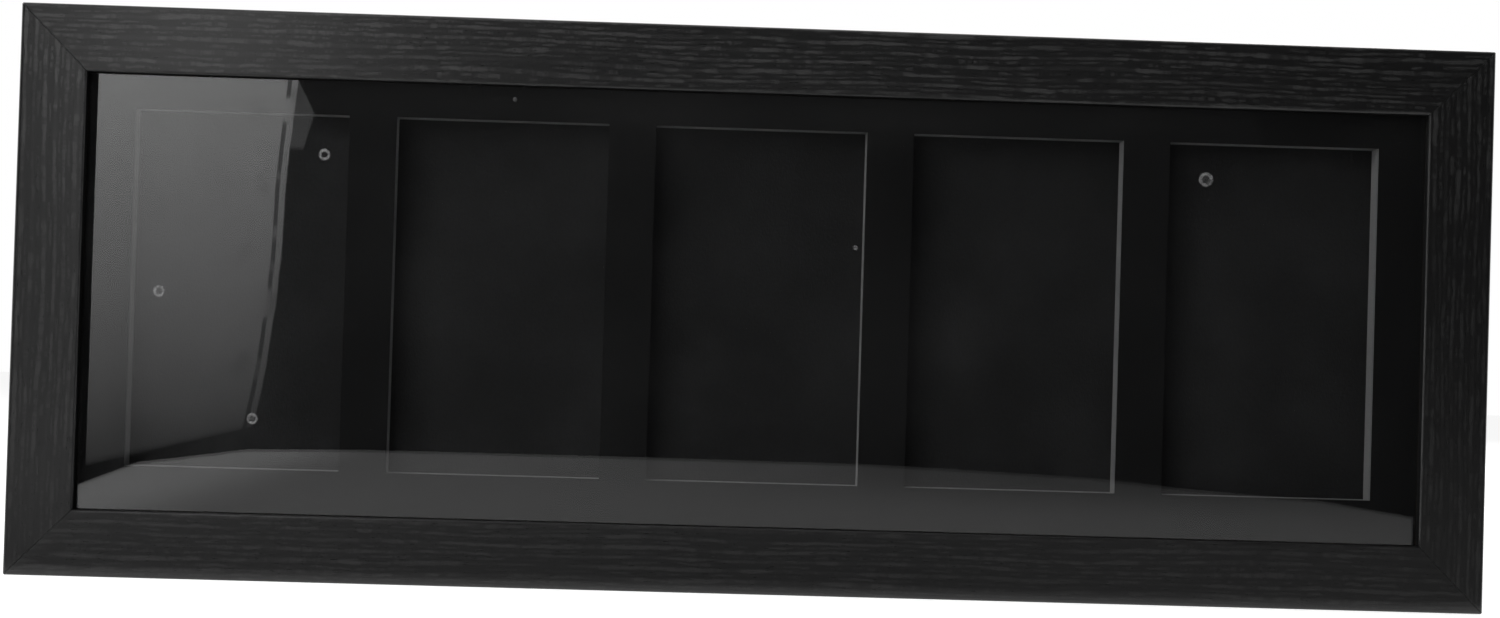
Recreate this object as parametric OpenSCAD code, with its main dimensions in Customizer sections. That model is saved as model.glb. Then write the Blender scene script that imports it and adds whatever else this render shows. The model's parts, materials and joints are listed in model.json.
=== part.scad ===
// Display case for graded trading cards: a mitred wood-grain moulding round a clear pane,
// with a black pocket panel behind it and a backing board that lifts off at the back.
// It stands on its bottom rail with the window facing -Y. The origin is the middle of the
// bottom rail's underside, +X is the viewer's right and +Z is up.

/* [Pockets] */
// Number of card pockets, side by side
pocket_count = 5; // [3:1:8]
// Width of one pocket, for an 81 mm wide card slab
pocket_w = 81.4; // [60:0.1:110]
// Height of one pocket, for a 136 mm tall card slab
pocket_h = 136.5; // [100:0.1:200]
// Bar of the panel between two pockets
bar_w = 18.1; // [6:0.1:40]
// Panel seen beside the first and the last pocket
margin_side = 17.9; // [5:0.1:60]
// Panel seen above the pockets
margin_top = 13.2; // [5:0.1:60]
// Panel seen below the pockets
margin_bottom = 16.9; // [5:0.1:60]

/* [Moulding] */
// Width of the moulding's face
face_w = 25.4; // [24.5:0.1:40]
// Width of the rabbet, which is how far the lip covers the pane
rabbet_w = 6.4; // [3:0.1:7]
// Depth of the lip, from the face to the pane
lip_d = 5; // [4:0.1:20]
// Rounding of the outer front edge
outer_round = 1.2; // [0.3:0.1:2.5]
// Rounding of the inner front edge
inner_round = 0.9; // [0.3:0.1:2.5]
// Rounding of the outer back edge
back_round = 0.8; // [0.3:0.1:2]
// Rounding of the four outer corners, seen from the front
corner_round = 1; // [0.3:0.1:3]

/* [Layers behind the lip] */
// Thickness of the clear pane
pane_t = 2; // [1.5:0.1:4]
// Thickness of the black mat sheet on the front of the pocket panel
mat_t = 1.4; // [0.6:0.1:3]
// Thickness of the foam core that gives the pockets their depth
core_t = 9.5; // [6:0.1:25]
// Thickness of the felt liner, which is the floor of the pockets
liner_t = 1.2; // [0.5:0.1:3]
// Thickness of the backing board
board_t = 3.2; // [2:0.1:6]
// Room left between the foam core and the liner
liner_gap = 0.2; // [0.1:0.05:1]
// How far the backing board lies below the back face
board_set = 0.1; // [0.1:0.05:0.9]
// Room beside and above the layers in the rabbet
layer_gap = 0.8; // [0.3:0.1:0.9]
// Room under the backing board, which slides out
board_gap = 0.3; // [0.1:0.05:0.8]

/* [Corner nails] */
// Length of each leg of a bent nail
nail_leg = 5; // [3:0.1:5.5]
// Thickness of the nail's steel
nail_t = 0.6; // [0.4:0.05:1]
// How deep the nail reaches into the moulding
nail_depth = 10; // [5:0.1:14]
// Place of the outer nail on the mitre, in from both outer edges
nail_outer = 8; // [6.5:0.1:9.6]
// Distance of the inner nail from the outer nail, in from both outer edges
nail_apart = 6; // [2:0.1:7]
// Room round a nail in its slot
nail_fit = 0.05; // [0.01:0.01:0.1]

/* [Turn buttons] */
// Width of a turn button
button_w = 9.5; // [8:0.1:12]
// Length of a turn button from its pivot to the centre of its round end
button_reach = 22; // [16:0.1:24]
// Thickness of a turn button
button_t = 1.2; // [0.8:0.1:2]
// Room above and below a turn button on its screw
button_play = 0.05; // [0.02:0.01:0.1]

/* [Screws] */
// Radius of the smooth shank
shank_r = 1.5; // [1:0.05:2]
// Length of the shank below the head, with its point
screw_len = 13; // [8:0.1:15]
// Length of the conical point
point_len = 3; // [1.5:0.1:5]
// Radius of the domed head
head_r = 3.1; // [2.5:0.05:4]
// Height of the domed head
head_h = 2; // [1.5:0.05:3]
// Height of the head's straight edge under the dome
head_edge = 0.8; // [0.4:0.05:1.2]
// Length of each cross slot
slot_len = 3.4; // [2:0.1:4]
// Width of each cross slot
slot_w = 0.8; // [0.5:0.05:1.2]
// Depth of the cross slots
slot_depth = 1.2; // [0.6:0.05:1.4]
// Running clearance of the shank in a pivot hole or pilot hole
shank_fit = 0.05; // [0.02:0.01:0.1]

/* [Ring hangers] */
// Distance of the ring's hinge from the top of the case
hanger_drop = 46; // [40:0.5:60]
// Radius of the ring's wire
wire_r = 1.2; // [0.8:0.05:1.4]
// Radius of the bends at the ring's hinge end, to the middle of the wire
bend_r = 2; // [1.5:0.1:3]
// Distance from the hinge to the centre of the round end
arm_len = 4; // [3.2:0.1:8]
// Straight length of the ring's bar on each side of the strap
bar_free = 0.75; // [0.3:0.05:2]
// Width of the strap that holds the ring
strap_w = 9.5; // [8:0.1:10]
// Thickness of the strap's steel
strap_t = 0.9; // [0.6:0.05:1.2]
// Room between the two layers of the folded strap
fold_gap = 0.05; // [0.02:0.01:0.2]
// Distance from the hinge at which the strap's upper layer lies flat
slope_len = 5; // [3:0.1:8]
// Running clearance of the ring's bar in the strap
bar_fit = 0.06; // [0.03:0.01:0.1]
// Room under the ring where it hangs on the strap
ring_rest_gap = 0.15; // [0.1:0.05:0.4]
// Room between the ring and the head of the strap's screw
ring_screw_gap = 0.8; // [0.4:0.1:2]
// Room round the screw's shank in the strap
strap_hole_room = 0.25; // [0.1:0.05:0.6]

/* [Wall bumpers] */
// Radius of a bumper
bumper_r = 6.35; // [4:0.05:8]
// Height of a bumper
bumper_h = 3; // [1.5:0.1:5]
// Height of a bumper's straight edge under its dome
bumper_edge = 1.2; // [0.5:0.1:1.4]
// Height of a bumper's middle above the underside of the case
bumper_up = 32; // [28:0.5:40]

/* [Hidden] */
$fn = 64;
overcut = 1;

// Overall sizes, which follow from the pockets and what surrounds them
pitch = pocket_w + bar_w;
block_w = pocket_count * pocket_w + (pocket_count - 1) * bar_w;
case_w = block_w + 2 * (margin_side + face_w);
case_h = pocket_h + margin_top + margin_bottom + 2 * face_w;
layers_d = pane_t + mat_t + core_t + liner_gap + liner_t + board_t;
case_d = lip_d + layers_d + board_set;

// Planes across the depth: the face is in front and the back face behind
face_y = -case_d / 2;
pane_y = face_y + lip_d;
mat_y = pane_y + pane_t;
core_y = mat_y + mat_t;
liner_y = core_y + core_t + liner_gap;
board_y = liner_y + liner_t;
back_y = case_d / 2;

// The rabbet, and the layers that stand on its lower side
wall_w = face_w - rabbet_w;
layer_w = case_w - 2 * (wall_w + layer_gap);
layer_h = case_h - 2 * wall_w - 2 * layer_gap;
board_h = layer_h - board_gap;
pocket_z = face_w + margin_bottom;

// Middle of the moulding's flat back, in from the outer edge, where all that is on it sits
back_mid = wall_w / 2;

// Turn buttons: on the rails behind the outer bars, and at the middle of the stiles
button_x = (pocket_count / 2 - 1) * pitch;
button_y = back_y + button_play;
button_top_z = case_h - back_mid;
button_side_x = case_w / 2 - back_mid;
button_side_z = case_h / 2;
head_y = button_y + button_t + button_play;

// Directions in which a turn button points, as turns about the depth
point_left = 180;
point_right = 0;
point_down = 90;

// Ring hangers: heights over the back face, and the tilt of a ring that rests on its strap,
// which it meets first where its round end crosses the strap's sides
loop_in_r = wire_r + bar_fit;
loop_out_r = loop_in_r + strap_t;
fold_h = 2 * strap_t + fold_gap;
hinge_y = back_y + loop_out_r;
hinge_z = case_h - hanger_drop;
hanger_x = case_w / 2 - back_mid;
bar_half = strap_w / 2 + bar_free;
ring_r = bar_half + bend_r;
ring_reach = arm_len + ring_r;
ring_rest_reach = arm_len + sqrt(pow(ring_r, 2) - pow(strap_w / 2, 2));
ring_rest_h = fold_h + wire_r + ring_rest_gap;
ring_tilt = asin((ring_rest_h - loop_out_r) / ring_rest_reach);
strap_hole_z = -(ring_reach + wire_r + ring_screw_gap + head_r);

// How far the root of the strap's slope runs on into the wall of its loop, as a turn
root_turn = 10;

// What the corner between two straight edges loses to a rounding of radius r
module round_off(r) {
  difference() {
    translate([-overcut, -overcut]) square(r + overcut);
    translate([r, r]) circle(r);
  }
}

// Cross-section of the moulding: x is the depth from the face, y the distance from the outer edge
module moulding_section() {
  difference() {
    square([case_d, face_w]);
    translate([lip_d, wall_w]) square([case_d - lip_d + overcut, rabbet_w + overcut]);
    round_off(outer_round);
    translate([0, face_w]) mirror([0, 1]) round_off(inner_round);
    translate([case_d, 0]) mirror([1, 0]) round_off(back_round);
  }
}

// Outline of one mitred length, seen from the front, with its outer edge on y = 0
module mitred_outline(length) {
  half = length / 2;
  difference() {
    polygon([[-half, 0], [half, 0], [half - face_w, face_w], [face_w - half, face_w]]);
    translate([-half, 0]) round_off(corner_round);
    translate([half, 0]) mirror([1, 0]) round_off(corner_round);
  }
}

// One mitred length of moulding along X, with its outer edge at z = 0
module moulding(length) {
  intersection() {
    translate([-length / 2, face_y, 0]) rotate([90, 0, 90])
      linear_extrude(length) moulding_section();
    translate([0, back_y, 0]) rotate([90, 0, 0])
      linear_extrude(case_d) mitred_outline(length);
  }
}

// Bent nail at a corner whose outer edges meet at the origin, with room all round it
module bent_nail(inset, room) {
  long = nail_leg + nail_t / 2 + 2 * room;
  thick = nail_t + 2 * room;
  deep = nail_depth + room;
  start = inset - nail_leg - room;
  side = inset - nail_t / 2 - room;
  for (turned = [false, true])
    translate([turned ? side : start, back_y - deep, turned ? start : side])
      cube([turned ? thick : long, deep, turned ? long : thick]);
}

// The two nails of every corner
module nails(room) {
  for (right = [0, 1], upper = [0, 1], inset = [nail_outer, nail_outer + nail_apart])
    translate([(right - 0.5) * case_w, 0, upper * case_h])
      mirror([right, 0, 0]) mirror([0, 0, upper]) bent_nail(inset, room);
}

// A low dome on a straight edge, standing on z = 0
module dome(r, h, edge) {
  rise = h - edge;
  cap_r = (r * r + rise * rise) / (2 * rise);
  intersection() {
    cylinder(r = r, h = h);
    translate([0, 0, h - cap_r]) sphere(cap_r);
  }
}

// A domed wood screw: the head stands on z = 0 and the shank points down
module wood_screw() {
  difference() {
    dome(head_r, head_h, head_edge);
    for (turn = [0, 90])
      rotate(turn) translate([-slot_len / 2, -slot_w / 2, head_h - slot_depth])
        cube([slot_len, slot_w, slot_depth + overcut]);
  }
  translate([0, 0, point_len - screw_len]) cylinder(r = shank_r, h = screw_len - point_len);
  translate([0, 0, -screw_len]) cylinder(r1 = 0, r2 = shank_r, h = point_len);
}

// The hole that a screw's shank fits, from z = 0 down
module pilot_hole() {
  depth = screw_len + shank_fit;
  translate([0, 0, -depth]) cylinder(r = shank_r + shank_fit, h = depth + overcut);
}

// Puts something that points up onto the back of the case, pointing backwards
module on_back(x, y, z) {
  translate([x, y, z]) rotate([-90, 0, 0]) children();
}

// Puts a child at each pivot of the turn buttons
module at_pivots(y) {
  for (side = [-1, 1]) {
    on_back(side * button_x, y, button_top_z) children();
    on_back(side * button_x, y, back_mid) children();
    on_back(side * button_side_x, y, button_side_z) children();
  }
}

// Puts a child at the screw of each hanger
module at_hanger_screws(y) {
  for (side = [-1, 1])
    on_back(side * hanger_x, y, hinge_z + strap_hole_z) children();
}

// Everything that is cut from the moulding for nails and screws
module moulding_cuts() {
  nails(nail_fit);
  at_pivots(back_y) pilot_hole();
  at_hanger_screws(back_y) pilot_hole();
}

module bottom_rail() {
  color("#1d1d1d") difference() {
    moulding(case_w);
    moulding_cuts();
  }
}

module top_rail() {
  color("#1d1d1d") difference() {
    translate([0, 0, case_h]) rotate([0, 180, 0]) moulding(case_w);
    moulding_cuts();
  }
}

module left_stile() {
  color("#1d1d1d") difference() {
    translate([-case_w / 2, 0, case_h / 2]) rotate([0, 90, 0]) moulding(case_h);
    moulding_cuts();
  }
}

module right_stile() {
  color("#1d1d1d") difference() {
    translate([case_w / 2, 0, case_h / 2]) rotate([0, -90, 0]) moulding(case_h);
    moulding_cuts();
  }
}

module corner_nails() {
  color("#8f9194") nails(0);
}

// One flat layer in the rabbet, from its front plane back
module layer(y, thickness, height, rise) {
  translate([-layer_w / 2, y, wall_w + rise]) cube([layer_w, thickness, height]);
}

// The openings of the pockets through a layer
module pocket_openings(y, thickness) {
  for (i = [0 : pocket_count - 1])
    translate([i * pitch - block_w / 2, y - overcut, pocket_z])
      cube([pocket_w, thickness + 2 * overcut, pocket_h]);
}

module front_pane() {
  color("#e8eef0", 0.2) layer(pane_y, pane_t, layer_h, 0);
}

module mat_sheet() {
  color("#151515") difference() {
    layer(mat_y, mat_t, layer_h, 0);
    pocket_openings(mat_y, mat_t);
  }
}

module pocket_core() {
  color("#2a2a2a") difference() {
    layer(core_y, core_t, layer_h, 0);
    pocket_openings(core_y, core_t);
  }
}

module pocket_liner() {
  color("#1a1a1a") layer(liner_y, liner_t, board_h, board_gap);
}

module backing_board() {
  color("#6b4a2f") layer(board_y, board_t, board_h, board_gap);
}

// A turn button on its pivot, pointing in the given direction
module turn_button(x, z, direction) {
  color("#b9bcc0")
    translate([x, button_y, z]) rotate([0, direction, 0]) rotate([-90, 0, 0])
      linear_extrude(button_t) difference() {
        union() {
          circle(button_w / 2);
          translate([button_reach, 0]) circle(button_w / 2);
          translate([0, -button_w / 2]) square([button_reach, button_w]);
        }
        circle(shank_r + shank_fit);
      }
}

module turn_button_top_left() {
  turn_button(-button_x, button_top_z, point_left);
}

module turn_button_top_right() {
  turn_button(button_x, button_top_z, point_right);
}

module turn_button_bottom_left() {
  turn_button(-button_x, back_mid, point_left);
}

module turn_button_bottom_right() {
  turn_button(button_x, back_mid, point_right);
}

module turn_button_left() {
  turn_button(-button_side_x, button_side_z, point_down);
}

module turn_button_right() {
  turn_button(button_side_x, button_side_z, point_down);
}

module button_screws() {
  color("#c9ccd0") at_pivots(head_y) wood_screw();
}

// Side view of the folded strap: x is the distance from the hinge backwards, y upwards.
// It goes up under the bar, round it, and down a slope that touches the loop to the upper layer.
module strap_section() {
  low = -strap_hole_z + strap_w / 2;
  under = -loop_out_r;
  upper = under + strap_t + fold_gap;
  foot = [upper, -slope_len];
  leave = atan2(foot.y, foot.x) + acos(loop_in_r / norm(foot));
  leave_dir = [cos(leave), sin(leave)];
  root_dir = [cos(leave + root_turn), sin(leave + root_turn)];
  far = 4 * loop_out_r;
  difference() {
    circle(loop_out_r);
    circle(loop_in_r);
    polygon([[0, 0], far * leave_dir, [0, -far], [-far, -far], [-far, 0]]);
  }
  translate([under, -low]) square([strap_t, low]);
  translate([upper, -low]) square([strap_t, low - slope_len]);
  polygon([
    loop_in_r * leave_dir, foot, foot + [strap_t, 0],
    loop_out_r * leave_dir, (loop_in_r + strap_t / 2) * root_dir
  ]);
}

// A strap with its hinge at the origin, hanging down, with a round lower end
module hanger_strap(x) {
  color("#b9bcc0") translate([x, hinge_y, hinge_z]) difference() {
    intersection() {
      translate([-strap_w / 2, 0, 0]) rotate([90, 0, 90])
        linear_extrude(strap_w) strap_section();
      translate([0, 2 * loop_out_r, 0]) rotate([90, 0, 0])
        linear_extrude(4 * loop_out_r) union() {
          translate([-strap_w / 2, strap_hole_z])
            square([strap_w, loop_out_r + overcut - strap_hole_z]);
          translate([0, strap_hole_z]) circle(strap_w / 2);
        }
    }
    translate([0, -2 * loop_out_r, strap_hole_z]) rotate([-90, 0, 0])
      cylinder(r = shank_r + strap_hole_room, h = 4 * loop_out_r);
  }
}

module hanger_strap_left() {
  hanger_strap(-hanger_x);
}

module hanger_strap_right() {
  hanger_strap(hanger_x);
}

// Part of a wire ring in the XZ plane: an arc about the origin from one turn to another
module wire_arc(radius, from, angle) {
  rotate([90, 0, 0]) rotate(from) rotate_extrude(angle = angle)
    translate([radius, 0]) circle(wire_r);
}

// A D-shaped ring with its bar on the hinge, resting on the strap
module hanger_ring(x) {
  arm = arm_len - bend_r;
  color("#c9ccd0") translate([x, hinge_y, hinge_z]) rotate([ring_tilt, 0, 0]) {
    translate([-bar_half, 0, 0]) rotate([0, 90, 0]) cylinder(r = wire_r, h = 2 * bar_half);
    translate([bar_half, 0, -bend_r]) wire_arc(bend_r, 0, 90);
    translate([-bar_half, 0, -bend_r]) wire_arc(bend_r, 90, 90);
    for (side = [-1, 1])
      translate([side * ring_r, 0, -arm_len]) cylinder(r = wire_r, h = arm);
    translate([0, 0, -arm_len]) wire_arc(ring_r, 180, 180);
  }
}

module hanger_ring_left() {
  hanger_ring(-hanger_x);
}

module hanger_ring_right() {
  hanger_ring(hanger_x);
}

module hanger_screws() {
  color("#c9ccd0") at_hanger_screws(back_y + fold_h) wood_screw();
}

module wall_bumper(x) {
  color("#4a4a4a") on_back(x, back_y, bumper_up) dome(bumper_r, bumper_h, bumper_edge);
}

module wall_bumper_left() {
  wall_bumper(-hanger_x);
}

module wall_bumper_right() {
  wall_bumper(hanger_x);
}

top_rail();
bottom_rail();
left_stile();
right_stile();
corner_nails();
front_pane();
mat_sheet();
pocket_core();
pocket_liner();
backing_board();
turn_button_top_left();
turn_button_top_right();
turn_button_bottom_left();
turn_button_bottom_right();
turn_button_left();
turn_button_right();
button_screws();
hanger_strap_left();
hanger_strap_right();
hanger_ring_left();
hanger_ring_right();
hanger_screws();
wall_bumper_left();
wall_bumper_right();
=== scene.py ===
"""Looks of the card display case: moulding, pane, pocket panel, hardware, and the studio round it."""

import json
import math
from functools import reduce

import bmesh
import bpy
from bpy.props import FloatProperty, FloatVectorProperty, PointerProperty
from bpy.types import Operator, Panel, PropertyGroup
from mathutils import Matrix, Vector

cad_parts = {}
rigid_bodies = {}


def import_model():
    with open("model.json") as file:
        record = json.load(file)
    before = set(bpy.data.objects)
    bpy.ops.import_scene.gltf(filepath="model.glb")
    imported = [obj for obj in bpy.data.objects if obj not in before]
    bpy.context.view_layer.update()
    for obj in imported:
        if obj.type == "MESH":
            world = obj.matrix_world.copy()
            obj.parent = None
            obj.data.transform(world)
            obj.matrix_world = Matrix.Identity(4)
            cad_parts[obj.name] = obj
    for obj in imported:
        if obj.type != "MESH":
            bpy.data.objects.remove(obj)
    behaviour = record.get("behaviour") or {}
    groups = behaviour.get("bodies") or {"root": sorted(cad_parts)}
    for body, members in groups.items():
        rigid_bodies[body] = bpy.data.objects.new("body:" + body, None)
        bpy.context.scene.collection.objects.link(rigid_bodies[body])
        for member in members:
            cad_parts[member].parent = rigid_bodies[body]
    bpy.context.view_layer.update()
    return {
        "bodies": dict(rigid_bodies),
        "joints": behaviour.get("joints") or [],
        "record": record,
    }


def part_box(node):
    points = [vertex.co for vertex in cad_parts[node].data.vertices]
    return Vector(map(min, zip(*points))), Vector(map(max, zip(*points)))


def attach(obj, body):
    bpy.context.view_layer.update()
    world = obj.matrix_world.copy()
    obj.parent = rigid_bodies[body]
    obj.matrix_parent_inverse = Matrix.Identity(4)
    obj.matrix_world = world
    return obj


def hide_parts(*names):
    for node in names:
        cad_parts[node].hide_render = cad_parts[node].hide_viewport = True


bl_info = {
    "name": "Card display case",
    "version": (1, 0, 0),
    "blender": (4, 5, 0),
    "location": "View3D > Sidebar > Display case",
    "description": "Builds the looks of a five-pocket card display case around its frame",
    "category": "Object",
}

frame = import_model()
MM = 0.001
HAIR = 0.001 * MM
OVERCUT = 2 * MM
QUARTER = math.pi / 2
SMOOTH_ANGLE = math.radians(32)
SHARP_ANGLE = math.radians(35)
X_AXIS, Y_AXIS, Z_AXIS = Vector((1, 0, 0)), Vector((0, 1, 0)), Vector((0, 0, 1))

# Planes and edges of the case, read off the frame
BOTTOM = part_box("bottom_rail")
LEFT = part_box("left_stile")
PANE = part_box("front_pane")
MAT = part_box("mat_sheet")
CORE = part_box("pocket_core")
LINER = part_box("pocket_liner")
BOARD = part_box("backing_board")
CASE_W = 2 * abs(LEFT[0].x)
CASE_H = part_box("top_rail")[1].z
FACE_Y, BACK_Y = BOTTOM[0].y, BOTTOM[1].y
FACE_W = BOTTOM[1].z
WALL_W = PANE[0].z
LIP_Y = PANE[0].y


# Colours and sizes that a user may change


class CaseFinish(PropertyGroup):
    """Colours and small sizes of the case's own surfaces."""

    foil: FloatVectorProperty(
        name="Foil", description="Ground colour of the moulding's wood-grain foil",
        default=(0.0034, 0.0034, 0.0035), subtype="COLOR", min=0, max=1)
    fleck: FloatVectorProperty(
        name="Grain streaks", description="Colour of the raised streaks in the foil",
        default=(0.027, 0.027, 0.027), subtype="COLOR", min=0, max=1)
    fibreboard: FloatVectorProperty(
        name="Fibreboard", description="Bare fibreboard behind the foil",
        default=(0.19, 0.125, 0.072), subtype="COLOR", min=0, max=1)
    mat: FloatVectorProperty(
        name="Mat", description="Black paper of the mat sheet",
        default=(0.0034, 0.0034, 0.0035), subtype="COLOR", min=0, max=1)
    foam: FloatVectorProperty(
        name="Foam", description="Cut walls of the foam core",
        default=(0.125, 0.125, 0.126), subtype="COLOR", min=0, max=1)
    felt: FloatVectorProperty(
        name="Felt", description="Felt floor of the pockets",
        default=(0.0098, 0.0098, 0.0101), subtype="COLOR", min=0, max=1)
    hardboard: FloatVectorProperty(
        name="Hardboard", description="Smooth side of the backing board",
        default=(0.235, 0.135, 0.070), subtype="COLOR", min=0, max=1)
    zinc: FloatVectorProperty(
        name="Zinc", description="Zinc plating of buttons, straps and screws",
        default=(0.62, 0.63, 0.65), subtype="COLOR", min=0, max=1)
    rubber: FloatVectorProperty(
        name="Rubber", description="Wall bumpers",
        default=(0.055, 0.055, 0.058), subtype="COLOR", min=0, max=1)
    grain_spacing: FloatProperty(
        name="Grain spacing", description="Distance between two rows of grain flecks",
        default=4.05 * MM, min=0.5 * MM, max=10 * MM, unit="LENGTH")
    foil_wrap: FloatProperty(
        name="Foil wrap", description="How far the foil laps onto the flat back",
        default=6.5 * MM, min=1 * MM, max=18 * MM, unit="LENGTH")
    mitre_gap: FloatProperty(
        name="Mitre gap", description="Half of the open line at a mitre",
        default=0.025 * MM, min=0, max=0.5 * MM, unit="LENGTH")


class StudioSettings(PropertyGroup):
    """Where the camera stands and how the studio is lit."""

    place: FloatVectorProperty(
        name="Camera place", description="Where the camera stands",
        default=(-0.0405, -1.1009, 0.0887), subtype="TRANSLATION")
    turn: FloatVectorProperty(
        name="Camera turn", description="Tilt, roll and swing of the camera",
        default=(math.radians(91.074), math.radians(-1.701), math.radians(-2.011)),
        subtype="EULER")
    lens: FloatProperty(
        name="Lens", description="Focal length on a 36 mm wide sensor",
        default=68.4, min=10, max=300)
    world_light: FloatProperty(
        name="Room light", description="Strength of the even light from all round",
        default=0.26, min=0, max=3)
    key_light: FloatProperty(
        name="Key light", description="Power of the soft light at the left of the front",
        default=17, min=0, max=500)
    key_place: FloatVectorProperty(
        name="Key light place", description="Where the key light stands",
        default=(-0.68, -1.05, 0.48), subtype="TRANSLATION")
    back_light: FloatProperty(
        name="Back light", description="Power of the soft light behind the case",
        default=32, min=0, max=500)
    back_place: FloatVectorProperty(
        name="Back light place", description="Where the back light stands",
        default=(1.2, 2.0, 1.8), subtype="TRANSLATION")
    light_aim: FloatVectorProperty(
        name="Light aim", description="The point that both soft lights face",
        default=(-0.05, 0.0, 0.1), subtype="TRANSLATION")
    lamp_size: FloatProperty(
        name="Light size", description="Width of both soft lights",
        default=1.3, min=0.05, max=5, unit="LENGTH")
    floor: FloatVectorProperty(
        name="Floor", description="Colour of the pale floor",
        default=(0.86, 0.86, 0.86), subtype="COLOR", min=0, max=1)
    floor_glow: FloatProperty(
        name="Floor glow", description="What the camera sees of the floor above the light on it",
        default=0.7, min=0, max=1)


# Shader maths as Python expressions


class Value:
    """One output socket of a material, so that shader maths reads as arithmetic."""

    def __init__(self, finish, socket):
        self.finish = finish
        self.socket = socket

    def _math(self, operation, *others):
        node = self.finish.node("ShaderNodeMath", {"operation": operation}, [self, *others])
        return Value(self.finish, node.outputs[0])

    def __add__(self, other):
        return self._math("ADD", other)

    __radd__ = __add__

    def __mul__(self, other):
        return self._math("MULTIPLY", other)

    __rmul__ = __mul__

    def __sub__(self, other):
        return self._math("SUBTRACT", other)

    def __rsub__(self, other):
        return (self * -1) + other

    def __gt__(self, other):
        return self._math("GREATER_THAN", other)

    def floor(self):
        return self._math("FLOOR")

    def size(self):
        return self._math("ABSOLUTE")

    def root(self):
        return self._math("SQRT")

    def pingpong(self, scale):
        return self._math("PINGPONG", scale)

    def most(self, other):
        return self._math("MAXIMUM", other)

    def least(self, other):
        return self._math("MINIMUM", other)

    def held(self):
        """The value kept between 0 and 1."""
        return self.least(1.0).most(0.0)

    def share(self, low, high):
        """How far the value has come from low to high, as a share."""
        return (self - low) * (1 / (high - low))

    def step(self, low, high):
        """0 below low, 1 above high and smooth between them; low may be the larger."""
        if low > high:
            return 1 - self.step(high, low)
        node = self.finish.node(
            "ShaderNodeMapRange", {"interpolation_type": "SMOOTHSTEP"},
            {"Value": self, "From Min": low, "From Max": high})
        return Value(self.finish, node.outputs["Result"])


class Finish:
    """The nodes of one material, or of the world."""

    def __init__(self, owner):
        owner.use_nodes = True
        self.owner = owner
        self.tree = owner.node_tree
        self.tree.nodes.clear()

    def node(self, kind, settings=None, sockets=None):
        """Adds a node: its settings first, then its sockets' links or values, a colour as three parts."""
        node = self.tree.nodes.new(kind)
        for key, value in (settings or {}).items():
            setattr(node, key, value)
        named = sockets.items() if isinstance(sockets, dict) else enumerate(sockets or [])
        for key, value in named:
            target = node.inputs[key]
            if isinstance(value, Value):
                value = value.socket
            if isinstance(value, bpy.types.NodeSocket):
                self.tree.links.new(value, target)
            else:
                target.default_value = (*value, 1) if target.type == "RGBA" else value
        return node

    def parts(self, vector):
        """The three parts of a vector."""
        node = self.node("ShaderNodeSeparateXYZ", None, [vector])
        return tuple(Value(self, part) for part in node.outputs)

    def place(self):
        """Object coordinates as three values, in metres."""
        return self.parts(self.node("ShaderNodeTexCoord").outputs["Object"])

    def lying(self, name):
        """A piece's own three-part attribute as three values, in metres."""
        return self.parts(self.node("ShaderNodeAttribute", {"attribute_name": name}).outputs["Vector"])

    def vector(self, x, y, z):
        return self.node("ShaderNodeCombineXYZ", None, [x, y, z]).outputs[0]

    def noise(self, waves, detail=3.0, roughness=0.5):
        """Noise over three parts counted in waves: a place in metres times the waves to the metre."""
        node = self.node(
            "ShaderNodeTexNoise", None,
            {"Vector": self.vector(*waves), "Scale": 1.0, "Detail": detail, "Roughness": roughness})
        return Value(self, node.outputs[0])

    def cells(self, waves):
        """Distance from the nearest of many scattered points, over the same three parts."""
        node = self.node("ShaderNodeTexVoronoi", None, {"Vector": self.vector(*waves), "Scale": 1.0})
        return Value(self, node.outputs["Distance"])

    def blend(self, factor, first, second):
        """A colour that goes from first to second."""
        sockets = {0: factor, 6: first, 7: second}
        return self.node("ShaderNodeMix", {"data_type": "RGBA"}, sockets).outputs[2]

    def shades(self, factor, colour, dark, light):
        """A colour that goes from a dark to a light share of itself."""
        return self.blend(factor, toned(colour, dark), toned(colour, light))

    def mix(self, factor, first, second):
        """A shader that goes from first to second."""
        return self.node("ShaderNodeMixShader", None, [factor, first, second]).outputs[0]

    def bump(self, height, depth, strength):
        """A bumped normal: height runs from 0 to 1 and depth is in metres."""
        node = self.node(
            "ShaderNodeBump", None, {"Height": height, "Distance": depth, "Strength": strength})
        return node.outputs[0]

    def surface(self, **sockets):
        """A Principled shader with sockets named in words, such as base_color."""
        named = {
            key.replace("_", " ").title().replace("Ior", "IOR"): value
            for key, value in sockets.items()
        }
        return self.node("ShaderNodeBsdfPrincipled", None, named).outputs[0]

    def done(self, shader, kind="ShaderNodeOutputMaterial"):
        self.node(kind, None, {"Surface": shader})
        return self.owner


def new_finish(name):
    return Finish(bpy.data.materials.new(name))


def times(factor, *parts):
    """Each part of a place times one factor."""
    return tuple(part * factor for part in parts)


def toned(colour, share):
    """A colour made darker or lighter by a share."""
    return tuple(min(1.0, share * part) for part in colour)


# The finishes of the case's own pieces


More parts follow.
